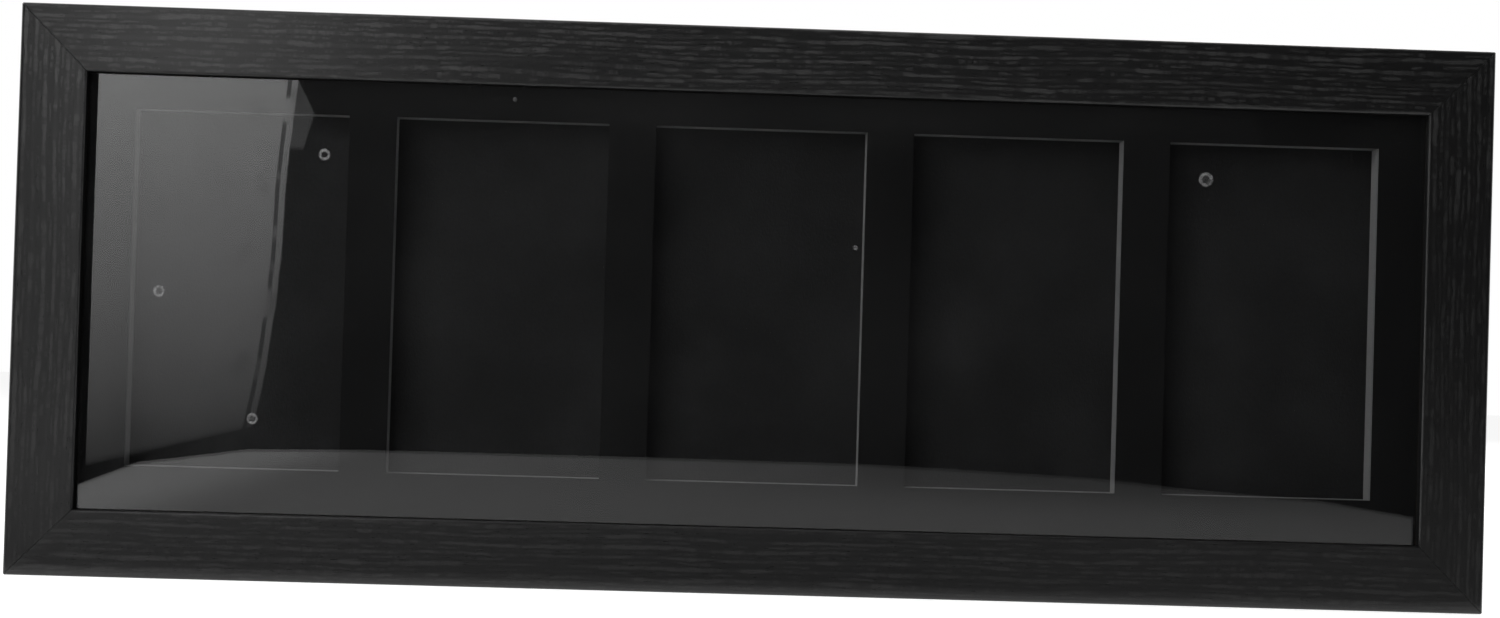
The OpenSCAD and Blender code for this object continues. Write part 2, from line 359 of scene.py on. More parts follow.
def grain_streaks(f, spacing, along, across):
    """Raised streaks in rows along the member, thin ones between broad ones, from 0 to 1."""
    drift = f.noise((along * 11, across * 60, 0.0), 2) - 0.5
    sway = f.noise((along * 170, across * 520, 3.0), 3, 0.65) - 0.5
    row = across * (1 / spacing) + drift * 1.5 + sway * 0.55
    main, between = row.pingpong(0.5) * 2, (row + 0.5).pingpong(0.5) * 2
    cut = f.noise((along * 75, (row + 0.5).floor() * 3.7, 1.0), 4, 0.7)
    gap = f.noise((along * 110, row.floor() * 5.3, 9.0), 4, 0.7)
    patch = f.noise((along * 15, across * 90, 7.0), 2).step(0.30, 0.52)
    broad = (1 - main).step(0.50, 0.86) * (0.25 + 0.75 * cut.step(0.44, 0.56))
    thin = (1 - between).step(0.66, 0.94) * gap.step(0.46, 0.56) * 0.7
    return broad.most(thin) * (0.55 + 0.45 * patch)


def rubbed_and_lit_edges(f, along, across, from_edge, y, z):
    """How far the foil is rubbed pale along its outer edge, and round the window but for its sill, where
    the pale line is also a painted highlight on the arris.
    """
    wear_and_highlight = f.noise((along * 60, across * 60, 2.0), 3).step(0.30, 0.62)
    behind = y - FACE_Y
    window = (from_edge - FACE_W).size().step(0.6 * MM, 0.2 * MM) * behind.step(1.0 * MM, 0.4 * MM)
    # Round the window the pale line is partly a painted highlight, left off the sill because the light
    # falls from above
    window = window * z.step(FACE_W + 1 * MM, FACE_W + 4 * MM)
    outer = from_edge.step(0.9 * MM, 0.2 * MM) * behind.step(1.4 * MM, 0.3 * MM)
    return window * (0.5 + 0.5 * wear_and_highlight) + outer * wear_and_highlight * 0.4


def bare_fibreboard(f, finish, *place):
    """Fibreboard without its foil, with loose fibres and some dust."""
    fibres = f.noise(times(700, *place), 4, 0.7)
    dust = f.noise(times(90, *place), 3)
    tone = (fibres * 0.7 + dust * 0.5 - 0.2).held()
    return f.surface(
        base_color=f.shades(tone, finish.fibreboard, 0.55, 1.25),
        roughness=0.85, normal=f.bump(fibres, 0.15 * MM, 0.6))


def moulding_foil(finish):
    """Black wood-grain foil with embossed streaks along the member, and bare fibreboard inside."""
    f = new_finish("grained_foil")
    along, across, from_edge = f.lying("grain")
    x, y, z = f.place()
    fine = f.noise((along * 170, across * 2600, 0.0), 3, 0.65)
    pores = f.noise((along * 90, across * 1500, 5.0), 2).step(0.60, 0.70)
    # The streaks carry painted light: stronger on the top rail as a painted highlight where light from
    # above catches them, and fainter on the lower rail and the right stile as painted shade
    painted_light_on_grain = (0.60 + 0.50 * z.step(0.12, 0.21)) * (1 - 0.2 * x.step(0.250, 0.262))
    grain_and_painted_light = grain_streaks(f, finish.grain_spacing, along, across) * painted_light_on_grain
    tone = grain_and_painted_light * (0.25 + 1.0 * fine) + (fine - 0.5) * 0.25 - pores * 0.08
    grained = f.blend(tone.held(), finish.foil, finish.fleck)
    # Rubbed wear and a painted highlight along the edges turn the foil pale
    wear_and_highlight = rubbed_and_lit_edges(f, along, across, from_edge, y, z)
    skin = f.surface(
        base_color=f.blend(wear_and_highlight, grained, toned(finish.fleck, 1.5)),
        roughness=0.29 + (fine - 0.5) * 0.10, specular_ior_level=0.5,
        normal=f.bump(grain_and_painted_light * 0.55 + fine * 0.3 - pores * 0.3, 0.08 * MM, 0.3))
    painted = f.surface(
        base_color=f.blend(fine * 0.3, finish.foil, finish.fleck),
        roughness=0.8, specular_ior_level=0.05, normal=f.bump(fine, 0.05 * MM, 0.5))
    ragged = (f.noise((along * 300, 0.0, 4.0), 3) - 0.5) * MM
    on_back = (y > BACK_Y - 0.06 * MM) * (from_edge - finish.foil_wrap + ragged).step(0.0, 0.25 * MM)
    in_rabbet = (y > LIP_Y - 0.02 * MM) * (from_edge > WALL_W - 0.05 * MM)
    lip_wall = (from_edge > FACE_W - 0.05 * MM) * (y > FACE_Y + 0.85 * MM)
    foiled = f.mix(lip_wall, skin, painted)
    bare = bare_fibreboard(f, finish, along, across, y)
    return f.done(f.mix(on_back.most(in_rabbet), foiled, bare))


# Dried drops on the pane: place across, height above the base and radius in millimetres, and
# how much of the middle is filled
DRIED_DROPS = (
    (-167.4, 163.4, 2.1, 0.0),
    (-228.6, 109.3, 2.1, 0.1),
    (-191.6, 61.6, 2.0, 0.1),
    (172.4, 164.7, 2.6, 0.15),
    (37.3, 134.1, 0.9, 0.5),
    (-95.4, 186.9, 0.7, 0.3),
)


def dried_drop(f, x, z, drop_x, drop_z, radius, filled):
    """The uneven rim that one drop has left, and its middle as far as it is filled, from 0 to 1."""
    side, rise = x - drop_x * MM, z - drop_z * MM
    away = (side * side + rise * rise).root() * (1 / (radius * MM))
    bend = f.noise((x * 900, 0.0, z * 900), 2) - 0.5
    thick = f.noise((x * 420, drop_x, z * 420), 2).step(0.36, 0.62)
    rim = (away + bend * 0.3 - 0.80).size().step(0.38, 0.08) * (0.45 + 0.55 * thick)
    return rim.most(away.step(1.05, 0.8) * filled)


def clear_pane():
    """Clear acrylic with specks of dust and a few dried drops."""
    f = new_finish("clear_acrylic")
    x, y, z = f.place()
    dust = f.cells((x * 160, 0.0, z * 160)).step(0.05, 0.02)
    drops = reduce(Value.most, [dried_drop(f, x, z, *drop) for drop in DRIED_DROPS])
    haze = (drops * 0.12 + dust * 0.02).least(1.0)
    clear = f.surface(
        base_color=(0.985, 0.99, 0.99), roughness=0.0, ior=1.49, transmission_weight=1.0)
    film = f.surface(base_color=(0.62, 0.62, 0.62), roughness=0.6)
    path = f.node("ShaderNodeLightPath").outputs
    passing = Value(f, path["Is Shadow Ray"]).most(Value(f, path["Is Diffuse Ray"]))
    open_way = f.node("ShaderNodeBsdfTransparent").outputs[0]
    return f.done(f.mix(passing, f.mix(haze, clear, film), open_way))


def mat_paper(finish):
    """Matt black paper with a fine tooth and paler cut edges."""
    f = new_finish("matt_paper")
    x, y, z = f.place()
    tooth = f.noise(times(1400, x, y, z), 3, 0.6)
    cloud = f.noise(times(30, x, y, z), 3)
    depth = y.share(MAT[0].y, MAT[1].y)
    cut = depth.step(0.05, 0.12) * depth.step(0.95, 0.88)
    tone = (tooth - 0.5) * 0.06 + (cloud - 0.5) * 0.04 + cut * 0.9
    return f.done(f.surface(
        base_color=f.blend(tone.held(), finish.mat, toned(finish.foam, 1.3)),
        roughness=0.82 + (tooth - 0.5) * 0.2, specular_ior_level=0.03,
        normal=f.bump(tooth, 0.05 * MM, 0.5)))


def foam_core(finish):
    """Black paper faces over a grey foam whose cut walls show fine cells and knife marks."""
    f = new_finish("foam_board")
    x, y, z = f.place()
    cells = f.cells(times(1500, x, y, z))
    knife = f.noise((x * 60, y * 1300, z * 60), 3)
    cloud = f.noise((x * 45, y * 200, z * 45), 3)
    depth = y.share(CORE[0].y, CORE[1].y)
    paper = depth.step(0.035, 0.015).most(depth.step(0.965, 0.985))
    tone = (cells * 0.35 + knife * 0.3 + cloud * 0.5 - 0.15).held()
    cut = f.shades(tone, finish.foam, 0.7, 1.25)
    return f.done(f.surface(
        base_color=f.blend(paper, cut, finish.mat), roughness=0.75 + knife * 0.15,
        specular_ior_level=0.3, normal=f.bump(cells * 0.5 + knife * 0.5, 0.08 * MM, 0.5)))


def felt(finish):
    """Short black felt, mottled where its nap lies differently."""
    f = new_finish("short_felt")
    x, y, z = f.place()
    nap = f.noise(times(26, x, y, z), 4, 0.62)
    fluff = f.noise(times(900, x, y, z), 4, 0.7)
    strands = f.noise((x * 2600 + z * 400, y * 900, z * 700), 3, 0.6)
    tone = (nap - 0.35) * 0.9 + (fluff - 0.5) * 0.5 + (strands - 0.5) * 0.3
    return f.done(f.surface(
        base_color=f.shades(tone.held(), finish.felt, 0.6, 1.9), roughness=0.95,
        specular_ior_level=0.03, sheen_weight=0.02, sheen_roughness=0.6,
        normal=f.bump(fluff * 0.6 + strands * 0.4, 0.25 * MM, 0.7)))


def hardboard(finish):
    """Pressed brown fibreboard: a polished face with loose fibres and darker, rougher edges."""
    f = new_finish("pressed_board")
    x, y, z = f.place()
    cloud = f.noise(times(11, x, y, z), 5, 0.62)
    fibres = f.noise((x * 380 + z * 90, y * 500, z * 900), 4, 0.72)
    flecks = f.cells((x * 420, y * 420, z * 150)).step(0.16, 0.05)
    scuff = f.noise((x * 26 + z * 60, 0.0, z * 9), 5, 0.7).step(0.63, 0.76)
    depth = y.share(BOARD[0].y, BOARD[1].y)
    side = depth.step(0.9, 0.82) * depth.step(0.02, 0.1)
    tone = cloud * 0.55 + fibres * 0.5 - 0.05 + flecks * 0.25 + scuff * 0.12 - side * 0.3
    return f.done(f.surface(
        base_color=f.shades(tone.held(), finish.hardboard, 0.5, 1.45),
        roughness=0.5 + (fibres - 0.5) * 0.25 + scuff * 0.15 + side * 0.3,
        specular_ior_level=0.4, normal=f.bump(fibres * 0.7 + flecks * 0.3, 0.07 * MM, 0.7)))


def plated_steel(name, colour, roughness, brush, spangle=0.0):
    """Plated steel: rolling marks of so many waves to the metre, faint clouding and dull spots."""
    f = new_finish(name)
    x, y, z = f.place()
    marks = f.noise((x * brush[0], y * brush[1], z * brush[2]), 3, 0.6)
    cloud = f.noise(times(180, x, y, z), 3, 0.6)
    spots = f.cells(times(700, x, y, z)).step(0.22, 0.1)
    patches = f.cells(times(320, x, y, z)) * spangle
    tone = (cloud * 0.6 + marks * 0.35 + patches - spots * 0.15).held()
    return f.done(f.surface(
        base_color=f.shades(tone, colour, 0.62, 1.15), metallic=1.0,
        roughness=roughness + (cloud - 0.5) * 0.14 + spots * 0.15 + (marks - 0.5) * 0.08,
        normal=f.bump(marks * 0.7 + cloud * 0.3, 0.02 * MM, 0.6)))


def bumper_rubber(finish):
    """Soft grey rubber with a dusty bloom."""
    f = new_finish("soft_rubber")
    x, y, z = f.place()
    bloom = f.noise(times(240, x, y, z), 4, 0.6)
    grit = f.noise(times(2400, x, y, z), 2)
    return f.done(f.surface(
        base_color=f.shades(bloom, finish.rubber, 0.7, 1.6),
        roughness=0.5 + (bloom - 0.5) * 0.3, normal=f.bump(grit, 0.03 * MM, 0.4)))


# Modelling by hand: one piece in edit mode, its parts chosen by where they are


def clear():
    """Leaves edit mode with nothing selected."""
    active = bpy.context.view_layer.objects.active
    if active is not None and active.mode != "OBJECT":
        bpy.ops.object.mode_set(mode="OBJECT")
    bpy.ops.object.select_all(action="DESELECT")


def take(*pieces):
    """Selects only these pieces and makes the first one active."""
    clear()
    for piece in pieces:
        piece.select_set(True)
    bpy.context.view_layer.objects.active = pieces[0]


class Editing:
    """Edit mode on one piece."""

    def __init__(self, piece):
        self.piece = piece

    def __enter__(self):
        take(self.piece)
        bpy.ops.object.mode_set(mode="EDIT")
        return self

    def __exit__(self, *problem):
        bpy.ops.object.mode_set(mode="OBJECT")

    def _mark(self, kind, items_of, passes):
        bpy.ops.mesh.select_mode(type=kind)
        bpy.ops.mesh.select_all(action="DESELECT")
        mesh = bmesh.from_edit_mesh(self.piece.data)
        found = 0
        for item in items_of(mesh):
            if passes(item):
                item.select_set(True)
                found += 1
        mesh.select_flush_mode()
        bmesh.update_edit_mesh(self.piece.data)
        if not found:
            raise RuntimeError(f"{self.piece.name}: nothing chosen")

    def all(self):
        """Chooses the whole piece."""
        bpy.ops.mesh.select_mode(type="VERT")
        bpy.ops.mesh.select_all(action="SELECT")

    def faces(self, test):
        """Chooses faces by a test of their middle and normal."""
        self._mark("FACE", lambda m: m.faces, lambda f: test(f.calc_center_median(), f.normal))

    def edges(self, test):
        """Chooses edges by a test of their two ends."""
        self._mark("EDGE", lambda m: m.edges, lambda e: test(e.verts[0].co, e.verts[1].co))

    def verts(self, test):
        """Chooses vertices by a test of their place."""
        self._mark("VERT", lambda m: m.verts, lambda v: test(v.co))

    def pull(self, step):
        """Extrudes the chosen faces or edges by a step."""
        bpy.ops.mesh.extrude_region_move(TRANSFORM_OT_translate={"value": step})

    def shift(self, step):
        """Moves what is chosen by a step."""
        bpy.ops.transform.translate(value=step)

    def spin(self, angle, centre, axis, steps=18):
        """Turns the chosen edges about an axis and draws faces behind them."""
        bpy.ops.mesh.spin(steps=steps, angle=-angle, center=centre, axis=axis)

    def scale(self, factors, centre):
        """Scales what is chosen about a centre."""
        bpy.ops.transform.resize(value=factors, center_override=centre)

    def bevel(self, width, segments):
        """Rounds the chosen edges, or with one segment cuts them flat."""
        bpy.ops.mesh.bevel(
            offset=width, segments=segments, affect="EDGES", offset_type="OFFSET",
            clamp_overlap=True, loop_slide=False)

    def bisect(self, point, normal, drop=False):
        """Cuts everything at a plane, and with drop takes off what the normal points to."""
        self.all()
        bpy.ops.mesh.bisect(
            plane_co=point, plane_no=normal, use_fill=drop, clear_outer=drop)

    def tidy(self):
        """Merges doubles and turns every face outwards."""
        self.all()
        bpy.ops.mesh.remove_doubles(threshold=HAIR / 2)
        bpy.ops.mesh.normals_make_consistent(inside=False)


def near(a, b):
    """Whether two measures are so close that they mean the same place."""
    return abs(a - b) < 20 * HAIR


def settle(piece):
    """Puts a piece's place, turn and scale into its mesh."""
    take(piece)
    bpy.ops.object.transform_apply(location=True, rotation=True, scale=True)


def added(name):
    """Names the primitive that was just added, and settles it."""
    piece = bpy.context.object
    piece.name = piece.data.name = name
    settle(piece)
    return piece


def block(name, low, high):
    """A block between two corners, to be worked on."""
    clear()
    low, high = Vector(low), Vector(high)
    bpy.ops.mesh.primitive_cube_add(size=1, location=(low + high) / 2, scale=high - low)
    return added(name)


def rod(name, radius, front, back, at=(0, 0), points=48):
    """A round rod along Y, its middle at a place across and a height."""
    clear()
    bpy.ops.mesh.primitive_cylinder_add(
        vertices=points, radius=radius, depth=back - front, rotation=(QUARTER, 0, 0),
        location=(at[0], (front + back) / 2, at[1]))
    return added(name)


def loop(name, radius, points, turn):
    """A round loop of edges about the origin, turned from lying flat."""
    clear()
    bpy.ops.mesh.primitive_circle_add(vertices=points, radius=radius, rotation=turn)
    return added(name)


def upright_sheet(name, low, high, cuts=(1, 1)):
    """A flat sheet that faces forwards at the front of the space between two corners."""
    clear()
    size, middle = high - low, (low + high) / 2
    bpy.ops.mesh.primitive_grid_add(
        x_subdivisions=cuts[0], y_subdivisions=cuts[1], size=1,
        location=(middle.x, low.y, middle.z), rotation=(QUARTER, 0, 0))
    bpy.context.object.scale = (size.x, size.z, 1)
    return added(name)


def turned_copy(piece, name, place, turn):
    """A copy with its own mesh, turned about the Y axis and then moved to place."""
    copy = piece.copy()
    copy.data = piece.data.copy()
    copy.name = copy.data.name = name
    bpy.context.collection.objects.link(copy)
    copy.data.transform(Matrix.Translation(Vector(place)) @ Matrix.Rotation(turn, 4, "Y"))
    return copy


def join(name, pieces):
    """Makes several pieces one, under a new name."""
    take(*pieces)
    bpy.ops.object.join()
    pieces[0].name = pieces[0].data.name = name
    return pieces[0]


def remove(*pieces):
    """Takes away tools and patterns that are no longer needed."""
    for piece in pieces:
        bpy.data.objects.remove(piece)


def modify(piece, kind, **settings):
    """Works a modifier into a piece."""
    take(piece)
    bpy.ops.object.modifier_add(type=kind)
    modifier = piece.modifiers[-1]
    for key, value in settings.items():
        setattr(modifier, key, value)
    bpy.ops.object.modifier_apply(modifier=modifier.name)


def carve(piece, tool, operation="DIFFERENCE"):
    """Cuts a piece with another solid."""
    modify(piece, "BOOLEAN", operation=operation, solver="EXACT", object=tool)


def soften(piece, width, segments=2):
    """Breaks every sharp edge of a piece."""
    modify(
        piece, "BEVEL", width=width, segments=segments, limit_method="ANGLE",
        angle_limit=SHARP_ANGLE, harden_normals=False)


def hand_over(piece, body, nodes, material):
    """Finishes a piece: smooth faces, its material, the body it rides on, and the frame's nodes hidden
    under it.
    """
    settle(piece)
    bpy.ops.object.shade_smooth_by_angle(angle=SMOOTH_ANGLE)
    modify(piece, "WEIGHTED_NORMAL", keep_sharp=True)
    piece.data.materials.clear()
    piece.data.materials.append(material)
    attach(piece, body)
    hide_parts(*nodes)


def joint_of(body):
    """The joint that carries a body."""
    return next(j for j in frame["joints"] if j["child"] == body)


# The four corners of the case, with the turn that brings the lower left one there
CORNERS = (
    (Vector((-CASE_W / 2, 0, 0)), 0.0),
    (Vector((CASE_W / 2, 0, 0)), -QUARTER),
    (Vector((CASE_W / 2, 0, CASE_H)), 2 * QUARTER),
    (Vector((-CASE_W / 2, 0, CASE_H)), QUARTER),
)

# Bent corner nails, as driven into the back of each mitre
NAIL_PLACES = (8 * MM, 14 * MM)
NAIL_LEG = 5 * MM
NAIL_T = 0.6 * MM
NAIL_DEPTH = 10 * MM
NAIL_ROOM = 0.08 * MM
NAIL_SUNK = 0.25 * MM
NAIL_BREAK = 0.1 * MM
NAIL_STEEL = (0.42, 0.42, 0.43)


def bent_nail(name, inset, room, front, back):
    """A bent nail across the lower left mitre, its bend on the mitre and towards the window."""
    half = NAIL_T / 2 + room
    nail = block(
        name, (inset - NAIL_LEG - room, front, inset - half), (inset + half, back, inset + half))
    with Editing(nail) as e:
        e.bisect((inset - half, 0, 0), X_AXIS)
        e.faces(lambda c, n: n.z < -0.9 and c.x > inset - half)
        e.pull((0, 0, half - NAIL_LEG - room))
        e.tidy()
    return nail


def all_corners(made, name):
    """Copies a lower left piece to every corner and joins the four."""
    copies = [turned_copy(made, name, corner, turn) for corner, turn in CORNERS]
    remove(made)
    return join(name, copies)


PILOT_R = 1.55 * MM
PILOT_DEPTH = 13.05 * MM


def button_places():
    """The turn buttons' pivots."""
    return [Vector(j["pos_m"]) for j in frame["joints"] if j["child"].startswith("button")]


def hanger_places():
    """The screws of the two hangers."""
    low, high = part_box("hanger_screws")
    hinges = [Vector(j["pos_m"]) for j in frame["joints"] if j["child"].startswith("ring")]
    return [Vector((hinge.x, hinge.y, (low.z + high.z) / 2)) for hinge in hinges]


def moulding_cutter():
    """Everything that is cut from the moulding's back: nail slots and pilot holes."""
    tools = [
        all_corners(bent_nail("slot", inset, NAIL_ROOM, BACK_Y - NAIL_DEPTH, BACK_Y + OVERCUT), "slots")
        for inset in NAIL_PLACES
    ]
    for place in button_places() + hanger_places():
        tools.append(rod(
            "pilot", PILOT_R, BACK_Y - PILOT_DEPTH, BACK_Y + OVERCUT, (place.x, place.z), 24))
    return join("moulding_cutter", tools)


OUTER_ROUND = 1.2 * MM
INNER_ROUND = 0.9 * MM
BACK_ROUND = 0.8 * MM
CORNER_ROUND = 1.0 * MM
MITRE_BREAK = 0.12 * MM


def moulding_length(name, length, gap):
    """One mitred length lying along X, its outer edge on z = 0, worked from a square bar."""
    half = length / 2
    bar = block(name, (-half, FACE_Y, 0), (half, BACK_Y, WALL_W))
    with Editing(bar) as e:
        e.bisect((0, LIP_Y, 0), Y_AXIS)
        e.faces(lambda c, n: n.z > 0.9 and c.y < LIP_Y)
        e.pull((0, 0, FACE_W - WALL_W))
        e.tidy()
        for y, z, width, steps in (
            (FACE_Y, 0, OUTER_ROUND, 5), (FACE_Y, FACE_W, INNER_ROUND, 5), (BACK_Y, 0, BACK_ROUND, 4),
        ):
            e.edges(lambda a, b: all(near(p.y, y) and near(p.z, z) for p in (a, b)))
            e.bevel(width, steps)
        reach = half - gap * math.sqrt(2)
        for side in (-1, 1):
            # Three flats that round the outer corner
            for turn in (45, 22, 68):
                way = Vector((side * math.sin(math.radians(turn)), 0, -math.cos(math.radians(turn))))
                middle = Vector((side * (half - CORNER_ROUND), 0, CORNER_ROUND))
                e.bisect(middle + way * CORNER_ROUND, way, drop=True)
            e.bisect((side * reach, 0, 0), (side, 0, 1), drop=True)
        e.tidy()
        e.edges(lambda a, b: all(
            near(reach - abs(p.x), p.z) and p.y < FACE_Y + OUTER_ROUND for p in (a, b)))
        e.bevel(MITRE_BREAK, 1)
        e.tidy()
    return bar


def lay_grain(bar, seed, length):
    """Writes how the foil lies on a length: along it, round its section, and in from its outer edge."""
    grain = bar.data.attributes.new("grain", "FLOAT_VECTOR", "POINT")
    for vert, out in zip(bar.data.vertices, grain.data):
        across = vert.co.z + (vert.co.y - FACE_Y)
        out.vector = (vert.co.x + seed * length, across + seed, vert.co.z)


class CASE_OT_moulding(Operator):
    """Builds the four mitred lengths of moulding"""

    bl_idname = "display_case.moulding"
    bl_label = "Moulding"

    def execute(self, context):
        finish = context.scene.case_finish
        foil = moulding_foil(finish)
        cutter = moulding_cutter()
        # Each node's length, its turn and place, and where along the roll its foil comes from
        lengths = (
            ("bottom_rail", CASE_W, 0.0, (0, 0, 0), 1.0),
            ("top_rail", CASE_W, 2 * QUARTER, (0, 0, CASE_H), 2.3),
            ("left_stile", CASE_H, QUARTER, (-CASE_W / 2, 0, CASE_H / 2), 3.1),
            ("right_stile", CASE_H, -QUARTER, (CASE_W / 2, 0, CASE_H / 2), 4.7),
        )
        for node, length, turn, place, seed in lengths:
            bar = moulding_length(node + "_moulding", length, finish.mitre_gap)
            back = Matrix.Translation(Vector(place)) @ Matrix.Rotation(turn, 4, "Y")
            cutter.data.transform(back.inverted())
            carve(bar, cutter)
            cutter.data.transform(back)
            lay_grain(bar, seed, length)
            bar.data.transform(back)
            hand_over(bar, "case", [node], foil)
        remove(cutter)
        return {"FINISHED"}


class CASE_OT_corner_nails(Operator):
    """Builds the bent steel nails that hold the mitres"""

    bl_idname = "display_case.corner_nails"
    bl_label = "Corner nails"

    def execute(self, context):
        sets = []
        for inset in NAIL_PLACES:
            nail = bent_nail("nail", inset, 0, BACK_Y - NAIL_DEPTH + 2 * NAIL_ROOM, BACK_Y - NAIL_SUNK)
            soften(nail, NAIL_BREAK)
            sets.append(all_corners(nail, "nails"))
        steel = plated_steel("bright_nail", NAIL_STEEL, 0.42, (900, 200, 900))
        hand_over(join("bent_nails", sets), "case", ["corner_nails"], steel)
        return {"FINISHED"}


# The thin film of air between the pane and what it rests on
PANE_AIR = 0.08 * MM
PANE_BREAK = 0.25 * MM


class CASE_OT_pane(Operator):
    """Builds the clear pane with its polished edges"""

    bl_idname = "display_case.pane"
    bl_label = "Pane"

    def execute(self, context):
        low, high = PANE
        pane = block("pane", (low.x, low.y + PANE_AIR, low.z), (high.x, high.y - PANE_AIR, high.z))
        with Editing(pane) as e:
            e.edges(lambda a, b: True)
            e.bevel(PANE_BREAK, 2)
        hand_over(pane, "case", ["front_pane"], clear_pane())
        return {"FINISHED"}


POCKET_ROOM = 0.3 * MM
MAT_BREAK = 0.12 * MM
CORE_BREAK = 0.08 * MM


def pocket_edges():
    """Left, right, lower and upper edge of every pocket, from the openings that the frame states."""
    stated = frame["record"]["physics"]["openings"]
    boxes = [o["box_m"] for o in stated if o["name"].startswith("card_pocket")]
    return [
        (low[0] - POCKET_ROOM, high[0] + POCKET_ROOM, low[2] - POCKET_ROOM, high[2] + POCKET_ROOM)
        for low, high in boxes
    ]


def pocketed_sheet(name, low, high, edge_break):
    """A sheet with the pockets cut through it: a plane is cut at their edges, opened and thickened."""
    sheet = upright_sheet(name, low, high)
    pockets = pocket_edges()
    with Editing(sheet) as e:
        for left, right, _, _ in pockets:
            e.bisect((left, 0, 0), X_AXIS)
            e.bisect((right, 0, 0), X_AXIS)
        for height in pockets[0][2:]:
            e.bisect((0, 0, height), Z_AXIS)
        e.faces(lambda c, n: any(
            left < c.x < right and lower < c.z < upper for left, right, lower, upper in pockets))
        bpy.ops.mesh.delete(type="FACE")
        e.all()
        e.pull((0, high.y - low.y, 0))
        e.tidy()

        def front_corner(p, left, right, lower, upper):
            across = near(p.x, left) or near(p.x, right)
            up = near(p.z, lower) or near(p.z, upper)
            return across and up and near(p.y, low.y)

        e.edges(lambda a, b: any(front_corner(a, *rim) and front_corner(b, *rim) for rim in pockets))
        e.bevel(edge_break, 2)
    return sheet


class CASE_OT_pocket_panel(Operator):
    """Builds the mat sheet and the foam core with their five openings"""

    bl_idname = "display_case.pocket_panel"
    bl_label = "Pocket panel"

    def execute(self, context):
        finish = context.scene.case_finish
        front = pocketed_sheet("mat_board", *MAT, MAT_BREAK)
        hand_over(front, "case", ["mat_sheet"], mat_paper(finish))
        panel = pocketed_sheet("foam_panel", *CORE, CORE_BREAK)
        hand_over(panel, "case", ["pocket_core"], foam_core(finish))
        return {"FINISHED"}


LINER_CUTS = (150, 50)
NAP_SIZE = 9 * MM
NAP_RISE = 0.22 * MM


class CASE_OT_liner(Operator):
    """Builds the felt liner, which is the floor of the pockets"""

    bl_idname = "display_case.liner"
    bl_label = "Felt liner"

    def execute(self, context):
        low, high = LINER
        liner = upright_sheet("felt_liner", low, high, LINER_CUTS)
        with Editing(liner) as e:
            e.all()
            e.pull((0, high.y - low.y, 0))
            e.tidy()
        nap = bpy.data.textures.new("nap", "CLOUDS")
        nap.noise_scale = NAP_SIZE
        front = liner.vertex_groups.new(name="front")
        inner = [v.index for v in liner.data.vertices
                 if near(v.co.y, low.y) and low.x + MM < v.co.x < high.x - MM]
        front.add(inner, 1.0, "REPLACE")
        modify(
            liner, "DISPLACE", texture=nap, texture_coords="LOCAL", vertex_group="front",
            direction="Y", mid_level=0, strength=NAP_RISE)
        hand_over(liner, "back", ["pocket_liner"], felt(context.scene.case_finish))
        return {"FINISHED"}


REAR_ROUND = 0.5 * MM
SIDE_ROUND = 0.4 * MM


class CASE_OT_backing_board(Operator):
    """Builds the hardboard back"""

    bl_idname = "display_case.backing_board"
    bl_label = "Backing board"

    def execute(self, context):
        board = block("hardboard_back", *BOARD)
        with Editing(board) as e:
            e.edges(lambda a, b: near(a.y, BOARD[1].y) and near(b.y, BOARD[1].y))
            e.bevel(REAR_ROUND, 3)
            e.edges(lambda a, b: near(a.x, b.x) and near(a.z, b.z) and not near(a.y, b.y))
            e.bevel(SIDE_ROUND, 2)
        hand_over(board, "back", ["backing_board"],
                  hardboard(context.scene.case_finish))
        return {"FINISHED"}


BUTTON_HOLE_R = 1.55 * MM
SHEET_BREAK = 0.12 * MM
BUTTON_POINTS = 64


def turn_button_blank(width, reach, thickness):
    """A turn button along X with its pivot at the origin: two rings of points, bridged and thickened."""
    outline = loop("button_outline", width / 2, BUTTON_POINTS, (QUARTER, 0, 0))
    hole = loop("button_hole", BUTTON_HOLE_R, BUTTON_POINTS, (QUARTER, 0, 0))
    with Editing(outline) as e:
        e.verts(lambda p: p.x > HAIR)
        e.shift((reach, 0, 0))
    button = join("turn_button", [outline, hole])
    with Editing(button) as e:
        e.edges(lambda a, b: True)
        bpy.ops.mesh.bridge_edge_loops()
        e.all()
        e.pull((0, thickness, 0))
        e.tidy()
    return button


GROOVE_R = 1.3 * MM
GROOVE_DEPTH = 0.28 * MM
GROOVE_START, GROOVE_END = 0.42, 0.94


def press_groove(button, reach, thickness):
    """Presses a shallow stiffening groove, narrower at its bottom, into the outer face of a button."""
    start, end = reach * GROOVE_START, reach * GROOVE_END
    tool = rod(
        "groove", GROOVE_R, thickness - GROOVE_DEPTH, thickness + GROOVE_DEPTH, (start, 0), 40)
    with Editing(tool) as e:
        e.verts(lambda p: p.x > start + HAIR)
        e.shift((end - start, 0, 0))
        e.faces(lambda c, n: n.y < -0.9)
        e.scale((0.94, 1, 0.7), ((start + end) / 2, thickness, 0))
    carve(button, tool)
    remove(tool)


